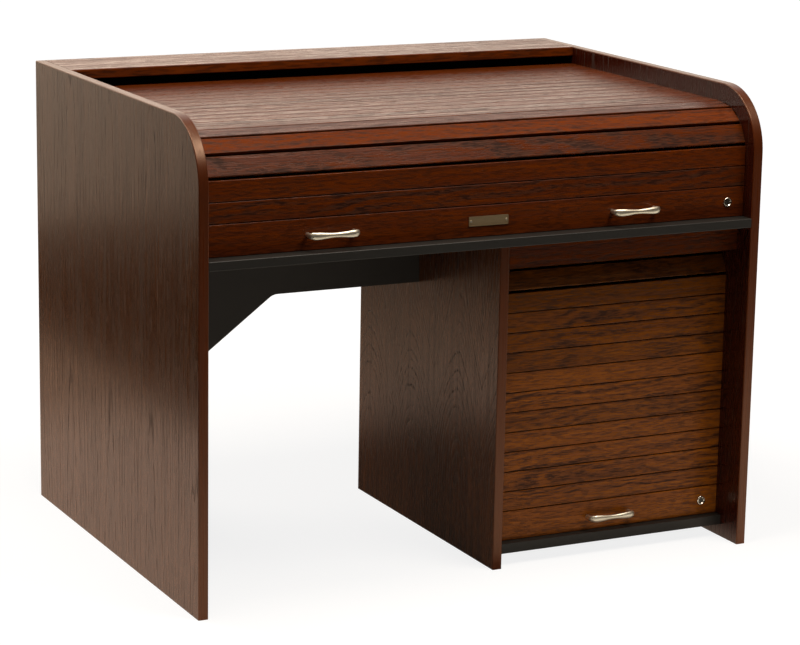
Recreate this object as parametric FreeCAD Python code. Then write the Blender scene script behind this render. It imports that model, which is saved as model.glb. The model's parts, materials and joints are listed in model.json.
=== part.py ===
import FreeCAD, Part
import math
import os

# Roll-top desk: two full-height side panels with rounded front corners, a worktop between them, a slatted
# roll-top cover over it, and at the right a pedestal that a second slatted cover closes like a door.
# Millimetres. The origin is on the floor under the middle of the desk: +X right, -Y front, +Z up.

V = FreeCAD.Vector

# Desk
desk_width = 1220.0
desk_depth = 900.0
desk_height = 945.0
board = 20.0
band = 3.0
band_ease = 1.8
corner_radius = 127.0
overrun = 1.0

# Worktop, hood and modesty panel
hood_height = 259.0
worktop_thickness = 18.0
worktop_ease = 1.5
cap_depth = 162.0
cap_thickness = 20.0
cap_ease = 2.0
hood_back_thickness = 12.0
hood_back_recess = 4.0
guard_thickness = 12.0
guard_from_back = 106.0
guard_height = 159.0
modesty_setback = 400.0
modesty_thickness = 16.0
modesty_height = 148.0
gusset_drop = 228.0
gusset_reach = 305.0
gusset_round = 30.0

# Pedestal
pedestal_inner_width = 526.0
pedestal_depth = 626.0
pedestal_setback = 50.0
header_height = 54.0
base_clearance = 26.0
base_setback = 14.0
pedestal_back_thickness = 12.0

# Slats of both covers
end_clearance = 0.4
foot_gap = 0.5
lead_thickness = 20.0
slat_ease = 1.5
groove_depth = 6.0

# Roll-top cover
roll_inset = 33.0
roll_drop = 37.0
roll_pitch = 41.0
roll_thickness = 12.0
roll_gap = 1.6
roll_bevel = 6.0
roll_lead_aim = 60.0
roll_bend_lean_degrees = (28.0, 56.0, 81.0)
roll_cover = 2.0
roll_rear_room = 19.0
roll_groove_width = 8.0
roll_groove_radius = 85.0

# Pedestal door
door_inset = 33.0
door_pitch = 40.8
door_thickness = 10.0
door_gap = 1.8
door_bevel = 6.5
door_lead_aim = 60.0
door_bend_drop = 111.7
door_run_fall = math.radians(12.5)
door_bends = 4
door_tail_slats = 2
door_groove_width = 5.0

# Bow handles
handle_centres = 96.0
handle_reach = 28.0
handle_height = 14.0
handle_depth = 7.5
handle_offset = 330.0
roll_handle_lift = -0.5
door_handle_lift = -2.5
handle_place_shares = (
    (1.00, 0.00),
    (1.03, 0.30),
    (1.03, 0.62),
    (0.94, 0.87),
    (0.74, 0.98),
    (0.38, 1.00),
    (0.00, 0.97),
)
handle_height_shares = (0.62, 0.64, 0.80, 0.96, 1.00, 0.80, 0.66)
handle_depth_shares = (1.15, 1.10, 1.05, 1.00, 1.00, 0.95, 0.90)

# Handle screws
screw_radius = 2.0
screw_head_radius = 4.0
screw_head_height = 2.6
screw_bite = 11.0
screw_clearance = 0.15

# Locks
lock_end_distance = 38.0
bezel_radius = 9.5
bezel_thickness = 2.4
bezel_ease = 1.7
bezel_dish = 1.5
barrel_radius = 8.0
barrel_tail = 3.0
barrel_clearance = 0.15
plug_radius = 5.5
plug_clearance = 0.1
plug_recess = 1.4
keyway_width = 1.4
keyway_height = 7.0
keyway_depth = 7.0
cam_length = 42.0
cam_width = 10.0
cam_thickness = 2.5
cam_gap = 0.4
cam_slot_room = 1.5

# Blank name plate
plate_width = 86.0
plate_offset = 5.5
plate_height = 19.0
plate_thickness = 1.6
plate_corner = 2.0
plate_border = 1.6
plate_pocket = 0.5
pin_inset = 4.5
pin_head_radius = 2.4
pin_head_height = 1.4
pin_shank_radius = 1.1
pin_shank_length = 8.0
pin_clearance = 0.1

# Corner blocks under the worktop
block_length = 40.0
block_leg = 22.0
block_chamfer = 10.0

# Places that follow from these sizes
left = -desk_width / 2
right = desk_width / 2
front = -desk_depth / 2
back = desk_depth / 2
inner_left = left + board
inner_right = right - board
worktop_top = desk_height - hood_height
worktop_bottom = worktop_top - worktop_thickness
hood_back_rear = back - hood_back_recess
hood_back_front = hood_back_rear - hood_back_thickness
cap_bottom = desk_height - cap_thickness
cap_front = back - cap_depth
guard_rear = back - guard_from_back + guard_thickness

pedestal_front = front + pedestal_setback
pedestal_back = pedestal_front + pedestal_depth
pedestal_inner = inner_right - pedestal_inner_width
pedestal_left = pedestal_inner - board
base_top = base_clearance + board
modesty_front = front + modesty_setback
modesty_bottom = worktop_bottom - modesty_height

roll_bend_leans = [math.radians(lean) for lean in roll_bend_lean_degrees]
roll_face = front + roll_inset
roll_line = roll_face + roll_thickness
roll_top_line = desk_height - roll_drop - roll_thickness
roll_foot = worktop_top + foot_gap
roll_bend_foot = roll_top_line - roll_pitch * sum(math.cos(lean) for lean in roll_bend_leans)
roll_front_slats = round((roll_bend_foot - roll_foot - roll_lead_aim) / roll_pitch)
roll_lead = roll_bend_foot - roll_foot - roll_front_slats * roll_pitch
roll_top_start = roll_line + roll_pitch * sum(math.sin(lean) for lean in roll_bend_leans)
roll_top_run = cap_front + roll_cover - roll_top_start
roll_top_slats = int(roll_top_run / roll_pitch) - 1
roll_end = roll_top_run - roll_top_slats * roll_pitch
roll_end_start = roll_top_start + roll_top_slats * roll_pitch
roll_rear_face = hood_back_front - roll_rear_room

door_step = (math.pi / 2 + door_run_fall) / door_bends
door_face = pedestal_front + door_inset
door_line = door_face + door_thickness
door_foot = base_top + foot_gap
door_bend_foot = worktop_bottom - door_bend_drop
door_slats = round((door_bend_foot - door_foot - door_lead_aim) / door_pitch)
door_lead = door_bend_foot - door_foot - door_slats * door_pitch

roll_lead_middle = roll_foot + roll_lead / 2
door_lead_middle = door_foot + door_lead / 2
lock_x = inner_right - lock_end_distance
door_middle = (pedestal_inner + inner_right) / 2


def box(x0, x1, y0, y1, z0, z1):
    return Part.makeBox(x1 - x0, y1 - y0, z1 - z0, V(x0, y0, z0))


def rod(x, y0, y1, z, radius):
    """Cylinder along Y."""
    return Part.makeCylinder(radius, y1 - y0, V(x, y0, z), V(0, 1, 0))


def in_yz(x):
    return lambda a, b: V(x, a, b)


def in_xz(y):
    return lambda a, b: V(a, y, b)


def rounded_edges(corners, place, closed=True):
    """Straight edges between corners (a, b, radius), with a tangent arc wherever the radius is not zero."""
    points = [place(a, b) for a, b, radius in corners]
    count = len(points)
    ends = []
    arcs = []
    for i, (a, b, radius) in enumerate(corners):
        at_end = not closed and i in (0, count - 1)
        if radius == 0 or at_end:
            ends.append((points[i], points[i]))
            arcs.append(None)
            continue
        before = (points[i - 1] - points[i]).normalize()
        after = (points[(i + 1) % count] - points[i]).normalize()
        half = before.getAngle(after) / 2
        run = radius / math.tan(half)
        towards = (before + after).normalize()
        middle = points[i] + towards * (radius / math.sin(half) - radius)
        ends.append((points[i] + before * run, points[i] + after * run))
        arcs.append(Part.Arc(ends[i][0], middle, ends[i][1]).toShape())
    edges = []
    for i in range(count):
        if arcs[i]:
            edges.append(arcs[i])
        if closed or i < count - 1:
            start = ends[i][1]
            stop = ends[(i + 1) % count][0]
            edges.append(Part.makeLine(start, stop))
    return edges


def slab(corners, place, along):
    """Closed rounded outline, extruded along a vector."""
    wire = Part.Wire(rounded_edges(corners, place))
    return Part.Face(wire).extrude(along)


def side_outline(x, inset):
    """Side panel outline, drawn in by the lipping at the front and top, extruded over the board."""
    corners = (
        (front + inset, 0, 0),
        (front + inset, desk_height - inset, corner_radius - inset),
        (back, desk_height - inset, 0),
        (back, 0, 0),
    )
    return slab(corners, in_yz(x), V(board, 0, 0))


def is_outer_edge(edge):
    """True for the long edges round the front and top of a side panel."""
    low = edge.BoundBox
    along_x = low.XLength > overrun
    middle = edge.valueAt((edge.FirstParameter + edge.LastParameter) / 2)
    on_front = abs(middle.y - front) < band_ease and low.ZLength > overrun
    on_top = abs(middle.z - desk_height) < band_ease and low.YLength > overrun
    on_corner = isinstance(edge.Curve, Part.Circle)
    return not along_x and (on_front or on_top or on_corner)


def side_band(x):
    whole = side_outline(x, 0)
    eased = whole.makeFillet(band_ease, [edge for edge in whole.Edges if is_outer_edge(edge)])
    return eased.cut(side_outline(x, band))


def groove(x, depth, corners, width):
    """Slot along a line of corners in a panel face at x, cut to a depth that is negative towards -X."""
    line = Part.Wire(rounded_edges(corners, in_yz(x), closed=False))
    outline = line.makeOffset2D(width / 2, fill=True)
    return outline.extrude(V(depth, 0, 0))


def roll_groove(x, depth):
    centre = roll_thickness / 2
    top = roll_top_line + centre
    corners = (
        (roll_face + centre, worktop_top, 0),
        (roll_face + centre, top, roll_groove_radius),
        (roll_rear_face - centre, top, roll_groove_radius),
        (roll_rear_face - centre, worktop_top, 0),
    )
    return groove(x, depth, corners, roll_groove_width)


def door_groove(x, depth):
    centre = door_thickness / 2
    bend = door_pitch / 2 / math.tan(door_step / 2) + centre
    leans = [door_step * (i + 1) for i in range(door_bends)]
    places = slat_places(door_line, door_bend_foot, leans, door_pitch)
    run_y, run_z, lean = places[-1]
    corner_z = run_z + centre * math.sin(lean)
    corner_z += (run_y - centre * math.cos(lean) - door_face - centre) * math.tan(door_run_fall)
    end_y = pedestal_back - pedestal_back_thickness - block_leg
    end_z = corner_z - (end_y - door_face - centre) * math.tan(door_run_fall)
    corners = (
        (door_face + centre, base_top, 0),
        (door_face + centre, corner_z, bend),
        (end_y, end_z, 0),
    )
    return groove(x, depth, corners, door_groove_width)


def slat_places(line, foot, leans, pitch):
    """Where each slat starts on the canvas line (y, z), and how far it leans back from the vertical."""
    y = line
    z = foot
    places = []
    for lean in leans:
        places.append((y, z, lean))
        y += pitch * math.sin(lean)
        z += pitch * math.cos(lean)
    return places


def on_slat(place, x):
    """Maps a point along and out of a slat's canvas side to the desk."""
    y, z, lean = place
    return lambda along, out: V(
        x,
        y + along * math.sin(lean) - out * math.cos(lean),
        z + along * math.cos(lean) + out * math.sin(lean),
    )


def slat(x0, x1, place, pitch, thickness, gap, bevel):
    """One slat: eased outer edges, and back edges bevelled so that the cover can bend."""
    low = gap / 2
    high = pitch - gap / 2
    corners = (
        (low, bevel, 0),
        (low + bevel, 0, 0),
        (high - bevel, 0, 0),
        (high, bevel, 0),
        (high, thickness, slat_ease),
        (low, thickness, slat_ease),
    )
    return slab(corners, on_slat(place, x0), V(x1 - x0, 0, 0))


def lead_rail(x0, x1, line, foot, height, thickness, gap, bevel):
    """Thicker rail at the free end of a cover, its face flush with the slats."""
    inside = thickness - lead_thickness
    high = height - gap / 2
    corners = (
        (0, inside, slat_ease),
        (high - bevel, inside, 0),
        (high, inside + bevel, 0),
        (high, thickness, slat_ease),
        (0, thickness, slat_ease),
    )
    return slab(corners, on_slat((line, foot, 0), x0), V(x1 - x0, 0, 0))


def handle_sections(x, z, face):
    """Ellipses across the bow, from one foot round to the other."""
    half = handle_centres / 2
    out = handle_reach - handle_depth / 2
    right_half = list(zip(handle_place_shares, handle_height_shares, handle_depth_shares))
    left_half = [((-aside, away), tall, deep) for (aside, away), tall, deep in right_half[-2::-1]]
    stations = right_half + left_half
    points = [V(x + half * aside, face - out * away, z) for (aside, away), tall, deep in stations]
    wires = []
    for i, (place, tall, deep) in enumerate(stations):
        after = points[min(i + 1, len(points) - 1)]
        before = points[max(i - 1, 0)]
        along = (after - before).normalize()
        if i in (0, len(points) - 1):
            along = V(0, -1 if i == 0 else 1, 0)
        half_tall = handle_height * tall / 2
        half_deep = handle_depth * deep / 2
        across = along.cross(V(0, 0, 1))
        tip = points[i] + V(0, 0, half_tall)
        if half_deep > half_tall:
            tip = points[i] + across * half_deep
            side = points[i] + V(0, 0, half_tall)
        else:
            side = points[i] + across * half_deep
        wires.append(Part.Wire(Part.Ellipse(tip, side, points[i]).toShape()))
    return wires


def handle(x, z, face):
    bow = Part.makeLoft(handle_sections(x, z, face), True)
    tapped = screw_radius + screw_clearance
    for place in handle_feet(x):
        bow = bow.cut(rod(place, face - screw_bite - overrun, face + overrun, z, tapped))
    return bow


def handle_feet(x):
    return (x - handle_centres / 2, x + handle_centres / 2)


def handle_screws(x, z, face):
    """Two machine screws through the rail from behind, into the feet of a handle."""
    screws = []
    behind = face + lead_thickness
    for place in handle_feet(x):
        shank = rod(place, face - screw_bite, behind, z, screw_radius)
        head = rod(place, behind, behind + screw_head_height, z, screw_head_radius)
        screws.append(shank.fuse(head))
    return screws


def screw_holes(x, z, face):
    clear = screw_radius + screw_clearance
    behind = face + lead_thickness + overrun
    return [rod(place, face - overrun, behind, z, clear) for place in handle_feet(x)]


def lock_hole(z, face):
    behind = face + lead_thickness + overrun
    return rod(lock_x, face - overrun, behind, z, barrel_radius + barrel_clearance)


def lock_barrel(z, face):
    tail = face + lead_thickness + barrel_tail
    bezel = rod(lock_x, face - bezel_thickness, face, z, bezel_radius)
    rim = [edge for edge in bezel.Edges if edge.BoundBox.YMax < face - bezel_thickness / 2]
    bezel = bezel.makeFillet(bezel_ease, [edge for edge in rim if isinstance(edge.Curve, Part.Circle)])
    whole = bezel.fuse(rod(lock_x, face, tail, z, barrel_radius))
    mouth = face - bezel_thickness
    bore = plug_radius + plug_clearance
    dish = Part.makeCone(bore + bezel_dish, bore, bezel_dish, V(lock_x, mouth, z), V(0, 1, 0))
    return whole.cut(rod(lock_x, mouth - overrun, tail + overrun, z, bore)).cut(dish)


def lock_plug(z, face):
    """Key plug with its keyway, and the cam on its tail, turned aside as when unlocked."""
    cam_front = face + lead_thickness + barrel_tail + cam_gap
    plug_front = face - bezel_thickness + plug_recess
    plug = rod(lock_x, plug_front, cam_front + cam_thickness, z, plug_radius)
    keyway = box(
        lock_x - keyway_width / 2,
        lock_x + keyway_width / 2,
        plug_front - overrun,
        plug_front + keyway_depth,
        z - keyway_height / 2,
        z + keyway_height / 2,
    )
    cam = box(
        lock_x - cam_length,
        lock_x,
        cam_front,
        cam_front + cam_thickness,
        z - cam_width / 2,
        z + cam_width / 2,
    )
    boss = rod(lock_x, cam_front, cam_front + cam_thickness, z, cam_width / 2)
    return plug.cut(keyway).fuse(cam).fuse(boss).removeSplitter()


def cam_slot(z, face, surface):
    """Slot in the board under a lock, as long as the tip of the cam sweeps below the surface."""
    cam_front = face + lead_thickness + barrel_tail + cam_gap
    tip = math.hypot(cam_length, cam_width / 2)
    sweep = math.sqrt(tip ** 2 - (z - surface) ** 2)
    return box(
        lock_x - sweep - cam_slot_room,
        lock_x + cam_width / 2 + cam_slot_room,
        cam_front - cam_slot_room,
        cam_front + cam_thickness + cam_slot_room,
        z - tip - cam_slot_room,
        surface + overrun,
    )


def plate_outline(border, face, along):
    half_width = plate_width / 2 - border
    half_height = plate_height / 2 - border
    low = roll_lead_middle - half_height
    high = roll_lead_middle + half_height
    corners = (
        (plate_offset - half_width, low, plate_corner),
        (plate_offset + half_width, low, plate_corner),
        (plate_offset + half_width, high, plate_corner),
        (plate_offset - half_width, high, plate_corner),
    )
    return slab(corners, in_xz(face), V(0, along, 0))


def pin_places():
    place = plate_width / 2 - pin_inset
    return (plate_offset - place, plate_offset + place)


def nameplate():
    plate_face = roll_face - plate_thickness
    plate = plate_outline(0, plate_face, plate_thickness)
    plate = plate.cut(plate_outline(plate_border, plate_face - overrun, plate_pocket + overrun))
    hole = pin_shank_radius + pin_clearance
    for x in pin_places():
        plate = plate.cut(rod(x, plate_face - overrun, roll_face + overrun, roll_lead_middle, hole))
    return plate


def nameplate_pins():
    pins = []
    seat = roll_face - plate_thickness + plate_pocket
    for x in pin_places():
        dome = Part.makeSphere(pin_head_radius, V(x, seat, roll_lead_middle))
        keep = rod(x, seat - pin_head_height, seat, roll_lead_middle, pin_head_radius)
        shank = rod(x, seat, seat + pin_shank_length, roll_lead_middle, pin_shank_radius)
        pins.append(dome.common(keep).fuse(shank))
    return pins


def pin_holes():
    reach = roll_face - plate_thickness + plate_pocket + pin_shank_length + pin_clearance
    hole = pin_shank_radius + pin_clearance
    return [rod(x, roll_face - overrun, reach, roll_lead_middle, hole) for x in pin_places()]


def corner_block(face, outwards, y):
    """Block that screws a board to the underside of the worktop; outwards is +1 or -1 along X."""
    corners = (
        (face, worktop_bottom, 0),
        (face + outwards * block_leg, worktop_bottom, 0),
        (face + outwards * block_leg, worktop_bottom - block_leg + block_chamfer, 0),
        (face + outwards * (block_leg - block_chamfer), worktop_bottom - block_leg, 0),
        (face, worktop_bottom - block_leg, 0),
    )
    return slab(corners, in_xz(y - block_length / 2), V(0, block_length, 0))


def pedestal_panel_band():
    whole = box(pedestal_left, pedestal_inner, pedestal_front, pedestal_front + band, 0, worktop_bottom)
    corners = [edge for edge in whole.Edges if edge.BoundBox.ZLength > board]
    nose = [edge for edge in corners if edge.BoundBox.YMax < pedestal_front + band / 2]
    return whole.makeFillet(band_ease, nose)


def worktop():
    top = box(inner_left, inner_right, front, hood_back_rear, worktop_bottom, worktop_top)
    nose = [edge for edge in top.Edges if edge.BoundBox.YMax < front + worktop_ease]
    top = top.makeFillet(worktop_ease, [edge for edge in nose if edge.BoundBox.XLength > board])
    return top.cut(cam_slot(roll_lead_middle, roll_face, worktop_top))


def top_cap():
    cap = box(inner_left, inner_right, cap_front, back, cap_bottom, desk_height)
    nose = [edge for edge in cap.Edges if edge.BoundBox.YMax < cap_front + cap_ease]
    return cap.makeFillet(cap_ease, [edge for edge in nose if edge.BoundBox.XLength > board])


def modesty_panel():
    corners = (
        (inner_left, worktop_bottom, 0),
        (inner_left, modesty_bottom - gusset_drop, 0),
        (inner_left + gusset_reach, modesty_bottom, gusset_round),
        (pedestal_left, modesty_bottom, 0),
        (pedestal_left, worktop_bottom, 0),
    )
    return slab(corners, in_xz(modesty_front), V(0, modesty_thickness, 0))


def carcass():
    roll_left = roll_groove(inner_left, -groove_depth)
    roll_right = roll_groove(inner_right, groove_depth)
    door_right = door_groove(inner_right, groove_depth)
    door_left = door_groove(pedestal_inner, -groove_depth)
    panel_front = pedestal_front + band
    pedestal_panel = box(pedestal_left, pedestal_inner, panel_front, pedestal_back, 0, worktop_bottom)
    base_front = pedestal_front + base_setback
    base = box(pedestal_inner, inner_right, base_front, pedestal_back, base_clearance, base_top)
    behind_modesty = modesty_front + modesty_thickness + block_length
    blocks = (
        corner_block(inner_left, 1, modesty_front - block_length * 2),
        corner_block(inner_left, 1, behind_modesty),
        corner_block(pedestal_left, -1, behind_modesty),
        corner_block(pedestal_left, -1, pedestal_back - block_length),
        corner_block(inner_right, -1, pedestal_back + block_length),
    )
    return {
        "left_side_panel": side_outline(left, band).cut(roll_left),
        "right_side_panel": side_outline(inner_right, band).cut(roll_right).cut(door_right),
        "left_edge_band": side_band(left),
        "right_edge_band": side_band(inner_right),
        "worktop": worktop(),
        "top_cap": top_cap(),
        "hood_back_panel": box(
            inner_left,
            inner_right,
            hood_back_front,
            hood_back_rear,
            worktop_top,
            cap_bottom,
        ),
        "roll_top_guard": box(
            inner_left,
            inner_right,
            guard_rear - guard_thickness,
            guard_rear,
            worktop_top,
            worktop_top + guard_height,
        ),
        "modesty_panel": modesty_panel(),
        "pedestal_side_panel": pedestal_panel.cut(door_left),
        "pedestal_edge_band": pedestal_panel_band(),
        "pedestal_header": box(
            pedestal_inner,
            inner_right,
            pedestal_front,
            pedestal_front + board,
            worktop_bottom - header_height,
            worktop_bottom,
        ),
        "pedestal_base": base.cut(cam_slot(door_lead_middle, door_face, base_top)),
        "pedestal_back_panel": box(
            pedestal_inner,
            inner_right,
            pedestal_back - pedestal_back_thickness,
            pedestal_back,
            base_top,
            worktop_bottom,
        ),
        "corner_blocks": Part.makeCompound(blocks),
    }


def roll_top():
    x0 = inner_left + end_clearance
    x1 = inner_right - end_clearance
    handle_z = roll_lead_middle + roll_handle_lift
    rail = lead_rail(x0, x1, roll_line, roll_foot, roll_lead, roll_thickness, roll_gap, roll_bevel)
    for x in (-handle_offset, handle_offset):
        for hole in screw_holes(x, handle_z, roll_face):
            rail = rail.cut(hole)
    for hole in pin_holes():
        rail = rail.cut(hole)
    nodes = {"roll_lead_rail": rail.cut(lock_hole(roll_lead_middle, roll_face))}
    leans = [0] * roll_front_slats + roll_bend_leans + [math.pi / 2] * roll_top_slats
    places = slat_places(roll_line, roll_foot + roll_lead, leans, roll_pitch)
    for number, place in enumerate(places, 1):
        piece = slat(x0, x1, place, roll_pitch, roll_thickness, roll_gap, roll_bevel)
        nodes[f"roll_slat_{number:02d}"] = piece
    end_place = (roll_end_start, roll_top_line, math.pi / 2)
    nodes["roll_end_rail"] = slat(x0, x1, end_place, roll_end, roll_thickness, roll_gap, roll_bevel)
    nodes["roll_handle_left"] = handle(-handle_offset, handle_z, roll_face)
    nodes["roll_handle_right"] = handle(handle_offset, handle_z, roll_face)
    screws = handle_screws(-handle_offset, handle_z, roll_face)
    screws += handle_screws(handle_offset, handle_z, roll_face)
    nodes["roll_handle_screws"] = Part.makeCompound(screws)
    nodes["nameplate"] = nameplate()
    nodes["nameplate_pins"] = Part.makeCompound(nameplate_pins())
    nodes["roll_lock_barrel"] = lock_barrel(roll_lead_middle, roll_face)
    nodes["roll_lock_plug"] = lock_plug(roll_lead_middle, roll_face)
    return nodes


def pedestal_door():
    x0 = pedestal_inner + end_clearance
    x1 = inner_right - end_clearance
    handle_z = door_lead_middle + door_handle_lift
    rail = lead_rail(x0, x1, door_line, door_foot, door_lead, door_thickness, door_gap, door_bevel)
    for hole in screw_holes(door_middle, handle_z, door_face):
        rail = rail.cut(hole)
    nodes = {"door_lead_rail": rail.cut(lock_hole(door_lead_middle, door_face))}
    leans = [0] * door_slats + [door_step * (i + 1) for i in range(door_tail_slats)]
    places = slat_places(door_line, door_foot + door_lead, leans, door_pitch)
    for number, place in enumerate(places, 1):
        piece = slat(x0, x1, place, door_pitch, door_thickness, door_gap, door_bevel)
        nodes[f"door_slat_{number:02d}"] = piece
    nodes["door_handle"] = handle(door_middle, handle_z, door_face)
    screws = handle_screws(door_middle, handle_z, door_face)
    nodes["door_handle_screws"] = Part.makeCompound(screws)
    nodes["door_lock_barrel"] = lock_barrel(door_lead_middle, door_face)
    nodes["door_lock_plug"] = lock_plug(door_lead_middle, door_face)
    return nodes


os.makedirs("parts", exist_ok=True)
for nodes in (carcass(), roll_top(), pedestal_door()):
    for name, shape in nodes.items():
        shape.exportStep(f"parts/{name}.step")
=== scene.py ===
import json
import math
import random
from collections import namedtuple

import bmesh
import bpy
from mathutils import Matrix, Vector


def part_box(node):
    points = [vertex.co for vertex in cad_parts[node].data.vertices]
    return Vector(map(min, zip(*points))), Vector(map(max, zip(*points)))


# Roll-top desk: the finishes of its panels, slats and fittings, on a white floor in soft studio light.
# Metres, in the desk's own frame: +X right, -Y front, +Z up.

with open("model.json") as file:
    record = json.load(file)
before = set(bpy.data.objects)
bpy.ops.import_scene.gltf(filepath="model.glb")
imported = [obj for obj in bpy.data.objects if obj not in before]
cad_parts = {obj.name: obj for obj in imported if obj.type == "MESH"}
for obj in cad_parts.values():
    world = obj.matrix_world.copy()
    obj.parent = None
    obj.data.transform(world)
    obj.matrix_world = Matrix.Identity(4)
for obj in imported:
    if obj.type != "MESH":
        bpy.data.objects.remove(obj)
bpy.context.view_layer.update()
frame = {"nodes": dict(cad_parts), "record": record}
nodes = frame["nodes"]
bodies = frame["record"]["behaviour"]["bodies"]

# Camera
lens = 122.4
sensor = 36.0
far_clip = 100.0
view_azimuth = math.radians(-26.558)
view_elevation = math.radians(12.936)
view_roll = math.radians(1.013)
view_distance = 5.6861
view_target = Vector((0.0270, 0.0, 0.4243))

# Detail and roughness of the noise in most patterns
soft_noise = (2.0, 0.5)
fine_noise = (3.0, 0.6)

# Limits or levels that take in the full range
whole = (0.0, 1.0)

# One slat's board: its stain, the Y and Z of its pith line, the shift of its patterns, how far its rings
# drift per metre and wander, their width, its tone, how strongly its rings show and how coarse its grain is
Board = namedtuple("Board", "stain pith shift drift wander ring tone figure grain")

# Stain colours of the slats: ground, streak, open ring and pore
roll_stain = (
    (0.128, 0.0248, 0.0022),
    (0.086, 0.0148, 0.0013),
    (0.053, 0.0168, 0.0068),
    (0.024, 0.0050, 0.0010),
)
door_stain = (
    (0.228, 0.0648, 0.0050),
    (0.160, 0.0426, 0.0034),
    (0.062, 0.0195, 0.0058),
    (0.034, 0.0100, 0.0027),
)

# Slats whose boards show arches, and those with plain straight grain
arched_slats = ("roll_slat_01", "roll_slat_03", "door_slat_03", "door_slat_06", "door_slat_09")
straight_slats = ("roll_slat_02", "roll_lead_rail", "door_lead_rail")

# What the slats' boards are drawn from
pith_depths = (0.022, 0.075)
pith_asides = (-0.045, 0.045)
ring_drifts = (0.010, 0.055)
ring_wanders = (0.035, 0.085)
ring_widths = (0.0090, 0.0145)
board_tones = (0.82, 1.20)
board_figures = (0.45, 0.75, 1.0, 1.0)

# Cuts of the panels' laminate: the width of a column of arches and of a ring, how far the rings close in per
# metre of height and over the arched zone, the roughness of the pores and the depth of the relief
Cut = namedtuple("Cut", "column ring slope arch dullest depth")
straight_cut = Cut(column=0.230, ring=0.0066, slope=0.030, arch=0.0, dullest=0.62, depth=0.00008)
arched_cut = Cut(column=0.205, ring=0.0076, slope=0.080, arch=0.09, dullest=0.66, depth=0.00028)

# Stain colours of the laminate: ground, streak and pore, and the painted shade of an inner face, darker and
# redder
side_stain = ((0.125, 0.043, 0.0158), (0.068, 0.0220, 0.0080), (0.022, 0.008, 0.003))
painted_inner_shade = (0.029, 0.0022, 0.0005)

# Colours of the lipping, the plain boards and the fittings
band_stain = ((0.090, 0.0175, 0.0031), (0.060, 0.0112, 0.0020))
band_lacquer = (1.0, 0.68, 0.48)
black_board = ((0.010, 0.0093, 0.0080), (0.015, 0.0138, 0.0118))
black_backing = ((0.026, 0.0215, 0.0178), (0.036, 0.0305, 0.0252))
moulded = ((0.020, 0.018, 0.016), (0.030, 0.027, 0.024))
nickel = ((0.92, 0.86, 0.72), (0.78, 0.72, 0.59))
bronze = ((0.66, 0.51, 0.32), (0.50, 0.385, 0.24))
chrome = ((0.92, 0.87, 0.77), (0.76, 0.71, 0.62))
dark_metal = ((0.26, 0.24, 0.21), (0.18, 0.165, 0.145))
zinc = ((0.62, 0.62, 0.63), (0.50, 0.50, 0.52))

# Tones of the studio
white_tone = (1.0, 1.0, 1.0)
black_tone = (0.0, 0.0, 0.0)
backdrop_tone = (1.0, 0.91, 0.79)
# Glow colours of the painted reflections of floor, cloth and backdrop: near the desk, round it and far off
near_paper_tone = (1.0, 0.90, 0.75)
paper_tone = (1.0, 0.70, 0.53)
far_paper_tone = (1.0, 0.64, 0.43)
cloth_tone = (0.010, 0.008, 0.006)
ceiling_tone = (0.26, 0.21, 0.17)
lamp_tone = (1.0, 0.90, 0.78)

# Square lamps: place, the point that the lamp faces, length of its side and power in watts
lamps = {
    "overhead": ((-0.70, -0.35, 3.60), (0.0, -0.2, 0.6), 1.2, 74.0),
    "front_right": ((0.95, -1.70, 3.60), (0.1, -0.3, 0.5), 1.6, 74.0),
    "back_left": ((-2.1, 2.3, 3.1), (-0.9, 0.9, 0.0), 1.4, 62.0),
}


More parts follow.
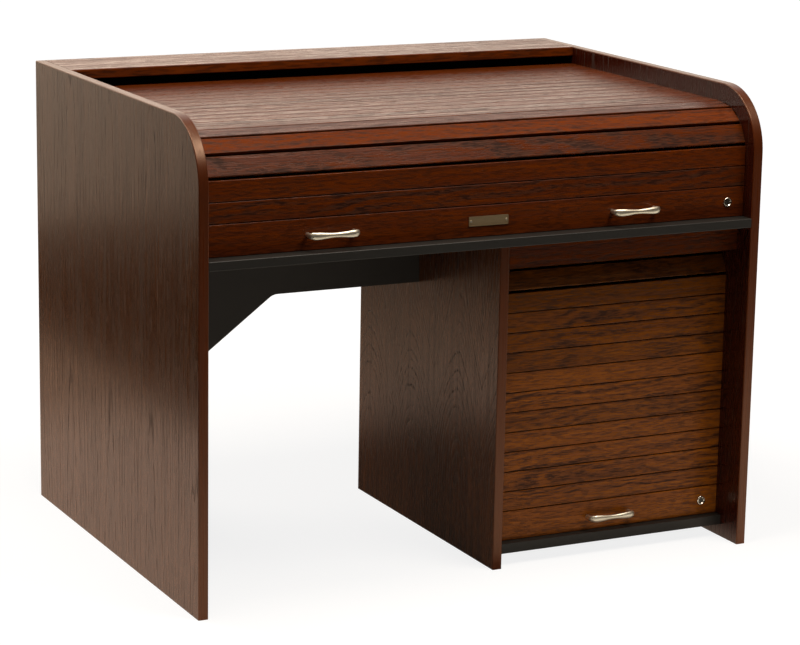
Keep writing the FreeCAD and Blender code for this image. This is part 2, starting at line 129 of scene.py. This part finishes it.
class Finish:
    """One material and the nodes that give it its colour, gloss and relief."""

    def __init__(self, name):
        self.material = bpy.data.materials.new(name)
        self.material.use_nodes = True
        self.tree = self.material.node_tree
        self.shader = next(n for n in self.tree.nodes if n.type == "BSDF_PRINCIPLED")
        self.place = self.node("ShaderNodeTexCoord").outputs["Object"]

    def node(self, kind, **settings):
        made = self.tree.nodes.new(kind)
        for name, value in settings.items():
            setattr(made, name, value)
        return made

    def feed(self, socket, value):
        if isinstance(value, bpy.types.NodeSocket):
            self.tree.links.new(value, socket)
        else:
            socket.default_value = value

    def constant(self, socket, value):
        self.shader.inputs[socket].default_value = value

    def calc(self, operation, first, second=0.0):
        made = self.node("ShaderNodeMath", operation=operation)
        self.feed(made.inputs[0], first)
        self.feed(made.inputs[1], second)
        return made.outputs[0]

    def vector(self, operation, first, second):
        made = self.node("ShaderNodeVectorMath", operation=operation)
        self.feed(made.inputs[0], first)
        self.feed(made.inputs[1], second)
        return made.outputs["Value" if operation in ("DISTANCE", "DOT_PRODUCT") else "Vector"]

    def axes(self):
        """The desk's X, Y and Z at each point."""
        split = self.node("ShaderNodeSeparateXYZ")
        self.feed(split.inputs[0], self.place)
        return split.outputs["X"], split.outputs["Y"], split.outputs["Z"]

    def stretched(self, steps, shift=(0.0, 0.0, 0.0)):
        """The desk's coordinates in pattern steps per metre, shifted to another stretch of the pattern."""
        made = self.node("ShaderNodeMapping")
        self.feed(made.inputs["Vector"], self.place)
        made.inputs["Scale"].default_value = steps
        made.inputs["Location"].default_value = shift
        return made.outputs["Vector"]

    def stretched_x(self, steps, shift=(0.0, 0.0, 0.0)):
        """As stretched, with one number of steps along X and another across it."""
        along, across = steps
        return self.stretched((along, across, across), shift)

    def noise(self, vector, kind=soft_noise):
        detail, roughness = kind
        made = self.node("ShaderNodeTexNoise")
        self.feed(made.inputs["Vector"], vector)
        made.inputs["Scale"].default_value = 1.0
        made.inputs["Detail"].default_value = detail
        made.inputs["Roughness"].default_value = roughness
        return made.outputs["Fac"]

    def span(self, value, limits, levels=whole):
        """A smooth step from the first level to the second, as the value goes from limit to limit."""
        made = self.node("ShaderNodeMapRange", interpolation_type="SMOOTHSTEP")
        for socket, given in zip(made.inputs, (value, *limits, *levels)):
            self.feed(socket, given)
        return made.outputs[0]

    def ramp(self, value, stops):
        made = self.node("ShaderNodeValToRGB")
        made.color_ramp.interpolation = "EASE"
        elements = made.color_ramp.elements
        while len(elements) < len(stops):
            elements.new(1.0)
        for element, (at, level) in zip(elements, stops):
            element.position = at
            element.color = (level, level, level, 1.0)
        self.feed(made.inputs[0], value)
        return made.outputs[0]

    def blend(self, share, first, second):
        made = self.node("ShaderNodeMix", data_type="RGBA")
        # The node has sockets of the same names for other types, so the ones for colours go by number
        first_colour, second_colour, result = made.inputs[6], made.inputs[7], made.outputs[2]
        self.feed(made.inputs["Factor"], share)
        for socket, colour in ((first_colour, first), (second_colour, second)):
            self.feed(socket, (*colour, 1.0) if isinstance(colour, tuple) else colour)
        return result

    def ring_shade(self, rings, stops, weakest):
        """How dark the wood is across each growth ring, by the stops. Some rings are weaker than others."""
        strength = self.node("ShaderNodeTexWhiteNoise", noise_dimensions="1D")
        self.feed(strength.inputs["W"], self.calc("FLOOR", rings))
        shade = self.ramp(self.calc("FRACT", rings), stops)
        return self.calc("MULTIPLY", shade, self.span(strength.outputs["Value"], whole, (weakest, 1.0)))

    def relief(self, height, depth):
        made = self.node("ShaderNodeBump")
        made.inputs["Strength"].default_value = 1.0
        made.inputs["Distance"].default_value = depth
        self.feed(made.inputs["Height"], height)
        self.feed(self.shader.inputs["Normal"], made.outputs["Normal"])

    def surface(self, colour, roughness):
        self.feed(self.shader.inputs["Base Color"], colour)
        self.feed(self.shader.inputs["Roughness"], roughness)

    def on(self, *names):
        for name in names:
            slots = nodes[name].data.materials
            slots.clear()
            slots.append(self.material)


def centre(name):
    low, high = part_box(name)
    return (low + high) / 2


def oak_rings(wood, board):
    """Growth rings counted from the board's pith line. They drift, wander and ripple along the board."""
    wave_steps = (4.5, 12.0)
    ripple_steps = (22.0, 70.0)
    ripple_share = 0.12
    shift = board.shift
    flat = wood.vector("MULTIPLY", wood.place, (0.0, 1.0, 1.0))
    radius = wood.vector("DISTANCE", flat, (0.0, *board.pith))
    along = wood.vector("DOT_PRODUCT", wood.place, (board.drift, 0.0, 0.0))
    waves = wood.noise(wood.stretched_x(wave_steps, (shift, shift, 0.0)))
    ripples = wood.noise(wood.stretched_x(ripple_steps, (shift, 0.0, shift)))
    radius = wood.calc("ADD", radius, along)
    radius = wood.calc("ADD", radius, wood.calc("MULTIPLY", waves, board.wander))
    radius = wood.calc("ADD", radius, wood.calc("MULTIPLY", ripples, board.wander * ripple_share))
    return wood.calc("DIVIDE", radius, board.ring)


def oak(name, board):
    """Stained oak with its grain along X: growth rings round a pith line, with open pores in each ring."""
    ring_stops = ((0.0, 0.45), (0.14, 1.0), (0.40, 0.85), (0.64, 0.12), (0.86, 0.0), (1.0, 0.38))
    weakest_ring = 0.45
    weakest_patch = 0.30
    # Steps per metre along and across the grain, and the noise levels between which the pattern comes in
    patch_steps, patch_limits = (5.0, 26.0), (0.30, 0.62)
    pore_steps, pore_limits = (42.0 / board.grain, 340.0 / board.grain), (0.475, 0.575)
    dash_steps, dash_limits = (48.0, 300.0), (0.40, 0.60)
    streak_steps, streak_limits = (2.6, 150.0 / board.grain), (0.34, 0.66)
    cloud_steps, cloud_limits = (3.2, 20.0), (0.38, 0.72)
    patch_levels = (weakest_patch * board.figure, board.figure)
    cloud_levels = (0.0, 0.55)
    dash_levels = (0.55, 1.0)
    pore_levels = (0.50, 1.0)
    streak_dulling = 0.60
    roughness = (0.17, 0.48)
    specular = 0.14
    pore_depth = 0.00020

    shift = board.shift
    ground, streak, open_ring, pore = (tuple(c * board.tone for c in colour) for colour in board.stain)
    wood = Finish(name)
    early = wood.ring_shade(oak_rings(wood, board), ring_stops, weakest_ring)
    patches = wood.noise(wood.stretched_x(patch_steps, (shift, 0.0, shift)))
    early = wood.calc("MULTIPLY", early, wood.span(patches, patch_limits, patch_levels))
    pores = wood.noise(wood.stretched_x(pore_steps, (shift, 0.0, 0.0)), fine_noise)
    pores = wood.span(pores, pore_limits)
    dashes = wood.noise(wood.stretched_x(dash_steps, (0.0, shift, 0.0)))
    dashes = wood.span(dashes, dash_limits)
    streaks = wood.noise(wood.stretched_x(streak_steps, (shift, shift, shift)), fine_noise)
    streaks = wood.span(streaks, streak_limits)
    clouds = wood.noise(wood.stretched_x(cloud_steps, (0.0, 0.0, shift)))
    clouds = wood.span(clouds, cloud_limits, cloud_levels)

    body = wood.blend(clouds, wood.blend(streaks, ground, streak), streak)
    dark = wood.calc("MULTIPLY", early, wood.span(dashes, whole, dash_levels))
    open_pore = wood.calc("MULTIPLY", pores, wood.span(early, whole, pore_levels))
    colour = wood.blend(open_pore, wood.blend(dark, body, open_ring), pore)
    shade = wood.calc("MAXIMUM", dark, open_pore)
    dull = wood.calc("MAXIMUM", shade, wood.calc("MULTIPLY", streaks, streak_dulling))
    wood.surface(colour, wood.span(dull, whole, roughness))
    wood.constant("Specular IOR Level", specular)
    wood.relief(wood.calc("MULTIPLY", shade, -1.0), pore_depth)
    return wood


def slat_oak(name, stain, seed, lighter, grain):
    """Each slat is cut from its own board, so its rings, figure and tone differ from the next. The given
    factor also scales the tone; on the door slats and the upper bend slat it is painted light.
    """
    shift_step = 3.7
    arched_depth, arched_wander, arched_figure = 0.030, 0.030, 1.4
    straight_figure = 0.35
    draw = random.Random(seed)
    depth = draw.uniform(*pith_depths)
    aside = draw.uniform(*pith_asides)
    drift = draw.choice((-1, 1)) * draw.uniform(*ring_drifts)
    wander = draw.uniform(*ring_wanders)
    ring = draw.uniform(*ring_widths)
    # The given factor is painted light on the door slats and the upper bend slat, and the header's tone on
    # the header
    tone = draw.uniform(*board_tones) * lighter
    figure = draw.choice(board_figures)
    if name in arched_slats:
        depth, aside, wander, figure = arched_depth, 0.0, arched_wander, arched_figure
    elif name in straight_slats:
        figure = straight_figure
    middle = centre(name)
    pith = (middle.y + depth + aside, middle.z - depth + aside)
    board = Board(stain, pith, seed * shift_step, drift, wander, ring, tone, figure, grain)
    oak("oak_" + name, board).on(name)


def roll_slats():
    """The roll-top's slats and the cap behind them. The upper slat of the bend is painted brighter, standing
    in for the light and sheen it catches from above, and the grain is coarser on the flat top, which is seen
    at a low angle."""
    first_seed = 1
    bend_painted_light = 1.30
    front_grain, top_grain = 1.0, 1.6
    names = sorted(n for n in nodes if n.startswith("roll_slat_"))
    names += ["roll_end_rail", "roll_lead_rail", "top_cap"]
    front_names = bodies["roll_leaf"] + bodies["roll_bend_a"] + bodies["roll_bend_b"]
    for seed, name in enumerate(names, first_seed):
        # Painted light: the upper slat of the bend, which faces up, gets a brighter tone
        lighter = bend_painted_light if name in bodies["roll_bend_b"] else 1.0
        grain = front_grain if name in front_names else top_grain
        slat_oak(name, roll_stain, seed, lighter, grain)


def door_slats():
    """The door's slats are painted paler near the floor than under the worktop: painted bounce light from
    the floor and painted shade under the worktop. The header above them has the roll-top's stain."""
    first_seed = 101
    upper_shade_tone, floor_light_cap, floor_light_height = 0.64, 1.16, 0.084
    header_tone = 0.92
    grain = 1.0
    names = sorted(n for n in nodes if n.startswith("door_slat_")) + ["door_lead_rail"]
    for seed, name in enumerate(names, first_seed):
        # Painted light: the tone rises towards the floor for its bounce light, and stays low under the
        # worktop for its shade
        lighter = min(floor_light_cap, upper_shade_tone + floor_light_height / centre(name).z)
        slat_oak(name, door_stain, seed, lighter, grain)
    slat_oak("pedestal_header", roll_stain, first_seed + len(names), header_tone, grain)


def laminate_rings(face, cut, seed, offset):
    """Growth rings of the laminate, counted from the middle of each column of arches."""
    sway_steps, sway_noise, sway_share = (0.0, 3.0, 1.3), (3.0, 0.5), 0.4
    wave_steps, wave_noise, wave_depth = (0.0, 22.0, 3.2), (3.0, 0.55), 0.014
    arched_zone = (0.16, 0.56)
    pith_share = 0.22
    column = cut.column
    pith_depth = column * pith_share
    across, height = face.axes()[1:]
    sway = face.noise(face.stretched(sway_steps, (seed, seed, 0.0)), sway_noise)
    across = face.calc("ADD", across, face.calc("MULTIPLY", sway, column * sway_share))
    turn = face.calc("DIVIDE", face.calc("ADD", across, offset), column)
    aside = face.calc("MULTIPLY", face.calc("SUBTRACT", face.calc("FRACT", turn), 0.5), column)
    radius = face.calc("SQRT", face.calc("ADD", face.calc("MULTIPLY", aside, aside), pith_depth ** 2))
    rise = face.calc("MULTIPLY", height, cut.slope)
    rise = face.calc("ADD", rise, face.span(height, arched_zone, (0.0, cut.arch)))
    waves = face.noise(face.stretched(wave_steps, (seed, 0.0, seed)), wave_noise)
    radius = face.calc("ADD", radius, rise)
    radius = face.calc("ADD", radius, face.calc("MULTIPLY", waves, wave_depth))
    return face.calc("DIVIDE", radius, cut.ring)


def laminate(name, cut, seed, offset, inner_face=None):
    """Oak laminate with its grain upright: columns of arched rings with straight grain between them, moved
    along Y by the offset. On a panel with an inner face, painted shade makes it darker and redder there, at
    this X."""
    ring_stops = ((0.0, 0.3), (0.10, 1.0), (0.38, 0.40), (0.65, 0.0), (1.0, 0.2))
    weakest_ring = 0.25
    streak_noise = (4.0, 0.65)
    # Steps per metre along X, Y and Z, and the noise levels between which the pattern comes in
    dash_steps, dash_limits = (300.0, 200.0, 16.0), (0.38, 0.62)
    pore_steps, pore_limits = (300.0, 260.0, 14.0), (0.48, 0.62)
    streak_steps, streak_limits = (90.0, 95.0, 3.0), (0.36, 0.64)
    cloud_steps, cloud_limits = (6.0, 14.0, 1.1), (0.35, 0.75)
    dash_levels = (0.35, 1.0)
    pore_levels = (0.35, 0.85)
    cloud_levels = (0.0, 0.5)
    inner_shade_limits, inner_shade_levels = (0.002, 0.006), (0.94, 0.0)
    ring_darkness = 0.90
    streak_dulling = 0.35
    dull_relief = 0.5
    roughness = (0.14, cut.dullest)
    specular = 0.38

    ground, streak, pore = side_stain
    face = Finish(name)
    early = face.ring_shade(laminate_rings(face, cut, seed, offset), ring_stops, weakest_ring)
    dashes = face.noise(face.stretched(dash_steps, (seed, seed, 0.0)))
    dashes = face.span(dashes, dash_limits)
    early = face.calc("MULTIPLY", early, face.span(dashes, whole, dash_levels))
    pores = face.noise(face.stretched(pore_steps, (0.0, seed, 0.0)), fine_noise)
    pores = face.span(pores, pore_limits)
    streaks = face.noise(face.stretched(streak_steps, (seed, 0.0, 0.0)), streak_noise)
    streaks = face.span(streaks, streak_limits)
    clouds = face.noise(face.stretched(cloud_steps, (0.0, seed, seed)))
    clouds = face.span(clouds, cloud_limits, cloud_levels)

    body = face.blend(clouds, face.blend(streaks, ground, streak), streak)
    # Painted shade: the inner face is darker and redder near this X
    if inner_face is not None:
        inward = face.calc("ABSOLUTE", face.calc("SUBTRACT", face.axes()[0], inner_face))
        body = face.blend(face.span(inward, inner_shade_limits, inner_shade_levels), body, painted_inner_shade)
    open_pore = face.calc("MULTIPLY", pores, face.span(early, whole, pore_levels))
    shade = face.calc("MAXIMUM", face.calc("MULTIPLY", early, ring_darkness), open_pore)
    dull = face.calc("MAXIMUM", shade, face.calc("MULTIPLY", streaks, streak_dulling))
    face.surface(face.blend(shade, body, pore), face.span(dull, whole, roughness))
    face.constant("Specular IOR Level", specular)
    hollow = face.calc("ADD", early, face.calc("MULTIPLY", dull, dull_relief))
    face.relief(face.calc("MULTIPLY", hollow, -1.0), cut.depth)
    return face


def lipping(name, *on):
    """Solid lipping under lacquer: fine straight streaks that run along it round the corner."""
    line_steps, line_limits = (620.0, 5.0), (0.32, 0.68)
    fleck_steps, fleck_limits = (1400.0, 60.0), (0.55, 0.72)
    fleck_darkness, fleck_share, fleck_depth = 0.35, 0.5, 0.00005
    rough_limits, roughness = (0.3, 0.7), (0.26, 0.36)
    specular = 0.72
    wood = Finish(name)
    ground, streak = band_stain
    dark = tuple(c * fleck_darkness for c in streak)
    lines = wood.noise(wood.stretched_x(line_steps), fine_noise)
    flecks = wood.span(wood.noise(wood.stretched_x(fleck_steps)), fleck_limits)
    colour = wood.blend(wood.span(lines, line_limits), ground, streak)
    colour = wood.blend(wood.calc("MULTIPLY", flecks, fleck_share), colour, dark)
    wood.surface(colour, wood.span(lines, rough_limits, roughness))
    wood.constant("Specular IOR Level", specular)
    wood.constant("Specular Tint", (*band_lacquer, 1.0))
    wood.relief(flecks, fleck_depth)
    wood.on(*on)


def speckled(name, colours, *on, steps, roughness, depth):
    """Plain moulded or coated board with a fine even speckle, in steps per metre."""
    limits = (0.3, 0.7)
    dulled = 1.35
    coat = Finish(name)
    speckle = coat.noise(coat.stretched((steps, steps, steps)), fine_noise)
    colour = coat.blend(coat.span(speckle, limits), *colours)
    coat.surface(colour, coat.span(speckle, limits, (roughness, roughness * dulled)))
    coat.relief(speckle, depth)
    coat.on(*on)


def brushed(name, colours, *on, roughness):
    """Plated metal with faint brush lines along X."""
    line_steps, line_depth = (40.0, 2600.0), 0.00001
    colour_limits, rough_limits = (0.3, 0.7), (0.2, 0.8)
    dulled = 1.4
    plate = Finish(name)
    lines = plate.noise(plate.stretched_x(line_steps), fine_noise)
    colour = plate.blend(plate.span(lines, colour_limits), *colours)
    plate.surface(colour, plate.span(lines, rough_limits, (roughness, roughness * dulled)))
    plate.constant("Metallic", 1.0)
    plate.relief(lines, line_depth)
    plate.on(*on)


def panels():
    right_inner_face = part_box("right_side_panel")[0].x
    left = laminate("laminate_left", straight_cut, seed=3.1, offset=0.05)
    right = laminate("laminate_right", straight_cut, seed=8.4, offset=0.11, inner_face=right_inner_face)
    pedestal = laminate("laminate_pedestal", arched_cut, seed=5.7, offset=0.0845)
    left.on("left_side_panel")
    right.on("right_side_panel")
    pedestal.on("pedestal_side_panel")
    lipping("lipping", "left_edge_band", "right_edge_band", "pedestal_edge_band")


def plain_boards():
    speckled("black_board", black_board, "worktop", "pedestal_base",
             steps=1500.0, roughness=0.40, depth=0.00006)
    speckled("black_backing", black_backing,
             "modesty_panel", "hood_back_panel", "roll_top_guard", "pedestal_back_panel",
             steps=900.0, roughness=0.50, depth=0.00008)
    speckled("moulded_block", moulded, "corner_blocks",
             steps=2400.0, roughness=0.42, depth=0.00003)


def fittings():
    brushed("satin_nickel", nickel, "roll_handle_left", "roll_handle_right", "door_handle", roughness=0.34)
    brushed("dull_bronze", bronze, "nameplate", roughness=0.36)
    brushed("bright_chrome", chrome, "roll_lock_barrel", "door_lock_barrel", roughness=0.20)
    brushed("satin_chrome", chrome, "nameplate_pins", roughness=0.32)
    brushed("dark_core", dark_metal, "roll_lock_plug", "door_lock_plug", roughness=0.28)
    brushed("zinc_screw", zinc, "roll_handle_screws", "door_handle_screws", roughness=0.30)


def camera():
    data = bpy.data.cameras.new("camera")
    data.lens = lens
    data.sensor_width = sensor
    data.clip_end = far_clip
    back = Vector((
        math.sin(view_azimuth) * math.cos(view_elevation),
        -math.cos(view_azimuth) * math.cos(view_elevation),
        math.sin(view_elevation),
    ))
    level = (-back).cross(Vector((0.0, 0.0, 1.0))).normalized()
    above = level.cross(-back)
    right = level * math.cos(view_roll) + above * math.sin(view_roll)
    up = above * math.cos(view_roll) - level * math.sin(view_roll)
    turn = Matrix((right, up, back)).transposed().to_4x4()
    eye = bpy.data.objects.new("camera", data)
    eye.matrix_world = Matrix.Translation(view_target + back * view_distance) @ turn
    bpy.context.scene.collection.objects.link(eye)
    bpy.context.scene.camera = eye


def softbox(name, place, aim, side, power):
    data = bpy.data.lights.new(name, "AREA")
    data.shape = "SQUARE"
    data.size = side
    data.energy = power
    data.color = lamp_tone
    lamp = bpy.data.objects.new(name, data)
    lamp.location = place
    lamp.rotation_euler = (Vector(aim) - Vector(place)).to_track_quat("-Z", "Y").to_euler()
    bpy.context.scene.collection.objects.link(lamp)


def ray_kind(tree, *names):
    """1 for rays of the kinds that are named, else 0."""
    path = tree.nodes.new("ShaderNodeLightPath")
    total = path.outputs[names[0]]
    for name in names[1:]:
        step = tree.nodes.new("ShaderNodeMath")
        step.operation = "MAXIMUM"
        tree.links.new(total, step.inputs[0])
        tree.links.new(path.outputs[name], step.inputs[1])
        total = step.outputs[0]
    return total


def sheet(name, corners, material):
    shape = bmesh.new()
    shape.faces.new([shape.verts.new(corner) for corner in corners])
    mesh = bpy.data.meshes.new(name)
    shape.to_mesh(mesh)
    shape.free()
    mesh.materials.append(material)
    made = bpy.data.objects.new(name, mesh)
    bpy.context.scene.collection.objects.link(made)
    return made


def level_sheet(name, wide, deep, height, material):
    """Level sheet between two X and two Y."""
    left, right = wide
    near, far = deep
    corners = ((left, near), (right, near), (right, far), (left, far))
    return sheet(name, [(*corner, height) for corner in corners], material)


def upright_sheet(name, start, end, top, material):
    """Upright sheet from the floor to the top, along a line between two points on the floor."""
    return sheet(name, [(*start, 0.0), (*end, 0.0), (*end, top), (*start, top)], material)


def matt(name, colour, glow):
    paint = Finish(name)
    paint.constant("Base Color", (*colour, 1.0))
    paint.constant("Roughness", 1.0)
    paint.constant("Specular IOR Level", 0.0)
    paint.constant("Emission Color", (*colour, 1.0))
    paint.constant("Emission Strength", glow)
    return paint


def floor():
    """White floor that keeps the desk's shadow and fades into the white surround. For gloss it glows as a
    painted
    reflection: lit paper round the desk, and painted shade, a dark floor, under it. In front of the desk it
    also glows for bounce rays only, painted light which throws light up on the door, more from the right."""
    reach = 30.0
    whiteness, seen_whiteness = 0.88, 0.22
    # Painted shade: how dark gloss sees the floor under the desk
    under_desk_shade = 0.10
    desk_middle = (0.0, 0.0, 0.0)
    # Where each zone starts and ends, and the level or share at its start and its end
    fade_out, seen_levels = (0.8, 3.2), (0.84, 1.0)
    desk_front, front_shares = (-0.50, -0.44), (1.0, 0.0)
    desk_side = (0.50, 0.60)
    thrown_deep, thrown_levels = (-1.5, -0.6), (0.0, 0.6)
    thrown_wide, thrown_shares = (0.2, 1.4), (0.2, 2.4)
    front_deep, front_levels = (-1.8, -0.9), (0.25, 0.87)
    beside_deep, beside_levels = (0.8, 1.7), (0.95, 0.35)
    behind_deep, behind_levels = (0.45, 1.0), (under_desk_shade, 0.66)
    far_deep, far_shares = (1.4, 2.2), (1.0, 0.6)
    tone_deep = (0.6, 1.6)

    lit_white = (whiteness, whiteness, whiteness)
    seen_white = (seen_whiteness, seen_whiteness, seen_whiteness)
    white = matt("floor_white", lit_white, 0.0)
    white.material.cycles.emission_sampling = "NONE"
    camera_ray = ray_kind(white.tree, "Is Camera Ray")
    diffuse_ray = ray_kind(white.tree, "Is Diffuse Ray")
    mirrored_ray = ray_kind(white.tree, "Is Glossy Ray", "Is Transmission Ray")
    wide, deep = white.axes()[:2]
    away = white.vector("DISTANCE", white.place, desk_middle)
    seen = white.calc("MULTIPLY", camera_ray, white.span(away, fade_out, seen_levels))

    # Painted bounce light: in front of the desk the floor glows for bounce rays only, more to the right
    before_desk = white.span(deep, desk_front, front_shares)
    thrown = white.calc("MULTIPLY", before_desk, white.span(deep, thrown_deep, thrown_levels))
    thrown = white.calc("MULTIPLY", thrown, white.span(wide, thrown_wide, thrown_shares))
    thrown = white.calc("MULTIPLY", diffuse_ray, thrown)

    off_side = white.span(white.calc("ABSOLUTE", wide), desk_side)
    # Painted reflection: the floor's glow for gloss, bright paper beside, behind and in front of the desk
    # and painted shade under it
    beside = white.calc("MULTIPLY", off_side, white.span(deep, beside_deep, beside_levels))
    behind = white.span(deep, behind_deep, behind_levels)
    behind = white.calc("MULTIPLY", behind, white.span(deep, far_deep, far_shares))
    in_front = white.calc("MULTIPLY", before_desk, white.span(deep, front_deep, front_levels))
    mirrored = white.calc("MAXIMUM", beside, white.calc("MAXIMUM", behind, in_front))
    mirrored = white.calc("MULTIPLY", mirrored_ray, mirrored)
    paper = white.blend(white.span(deep, tone_deep), paper_tone, far_paper_tone)
    paper = white.blend(before_desk, paper, near_paper_tone)

    lit = white.blend(mirrored_ray, lit_white, black_tone)
    lit = white.blend(camera_ray, lit, seen_white)
    glow = white.calc("ADD", white.calc("ADD", seen, thrown), mirrored)
    white.feed(white.shader.inputs["Base Color"], lit)
    white.feed(white.shader.inputs["Emission Color"], white.blend(mirrored_ray, white_tone, paper))
    white.feed(white.shader.inputs["Emission Strength"], glow)
    level_sheet("floor", (-reach, reach), (-reach, reach), 0.0, white.material)


def hide(made, *kinds):
    for kind in kinds:
        setattr(made, "visible_" + kind, False)


def room():
    """Backdrop behind the desk, walls and ceiling round it and dark cloths on the floor, which the camera
    does not see. They are there for gloss and metal to mirror, and the floor cloths also hold back light
    from the floor. Far behind the desk the cloth glows a little, the backdrop glows more higher up and the
    ceiling glows: these glows are painted light for gloss to mirror."""
    wide, high, lift = 7.0, 5.2, 0.002
    left, near, far = -1.13, -1.8, 3.4
    backdrop_top = 3.2
    ceiling_glow = 1.0
    cloth_deep, cloth_levels = (2.1, far), (0.0, 0.15)
    backdrop_high, backdrop_levels = (0.2, 1.3), (0.16, 0.96)

    cloth = matt("dark_cloth", cloth_tone, 0.0)
    cloth.material.cycles.emission_sampling = "NONE"
    cloth.constant("Emission Color", (*far_paper_tone, 1.0))
    cloth_glow = cloth.span(cloth.axes()[1], cloth_deep, cloth_levels)
    cloth.feed(cloth.shader.inputs["Emission Strength"], cloth_glow)
    dark = cloth.material
    grey = matt("grey_ceiling", ceiling_tone, ceiling_glow).material
    pale = matt("pale_backdrop", backdrop_tone, 0.0)
    high_up = pale.span(pale.axes()[2], backdrop_high)
    pale.feed(pale.shader.inputs["Emission Color"], pale.blend(high_up, far_paper_tone, backdrop_tone))
    pale.feed(pale.shader.inputs["Emission Strength"], pale.span(high_up, whole, backdrop_levels))

    floor_cloths = (
        level_sheet("cloth_left", (-wide, left), (-wide, far), lift, dark),
        level_sheet("cloth_front", (left, wide), (-wide, near), lift, dark),
    )
    screens = (
        upright_sheet("wall_left", (-wide, -wide), (-wide, far), high, dark),
        upright_sheet("wall_right", (wide, -wide), (wide, far), high, dark),
        upright_sheet("wall_front", (-wide, -wide), (wide, -wide), high, dark),
        level_sheet("ceiling", (-wide, wide), (-wide, far), high, grey),
        upright_sheet("backdrop", (-wide, far), (wide, far), backdrop_top, pale.material),
    )
    for made in floor_cloths:
        hide(made, "camera", "shadow", "transmission")
    for made in screens:
        hide(made, "camera", "diffuse", "shadow", "transmission")


def surround():
    """World: soft even light, and white where it is seen."""
    fill_level, seen_level = 0.08, 1.0
    world = bpy.data.worlds.new("surround")
    world.use_nodes = True
    tree = world.node_tree
    background = next(n for n in tree.nodes if n.type == "BACKGROUND")
    background.inputs["Color"].default_value = (*white_tone, 1.0)
    level = tree.nodes.new("ShaderNodeMapRange")
    seen = ray_kind(tree, "Is Camera Ray", "Is Glossy Ray", "Is Transmission Ray")
    tree.links.new(seen, level.inputs["Value"])
    level.inputs["To Min"].default_value = fill_level
    level.inputs["To Max"].default_value = seen_level
    tree.links.new(level.outputs[0], background.inputs["Strength"])
    bpy.context.scene.world = world


def studio():
    surround()
    floor()
    room()
    for name, (place, aim, side, power) in lamps.items():
        softbox(name, place, aim, side, power)


roll_slats()
door_slats()
panels()
plain_boards()
fittings()
camera()
studio()
bpy.context.scene.view_settings.view_transform = "Standard"
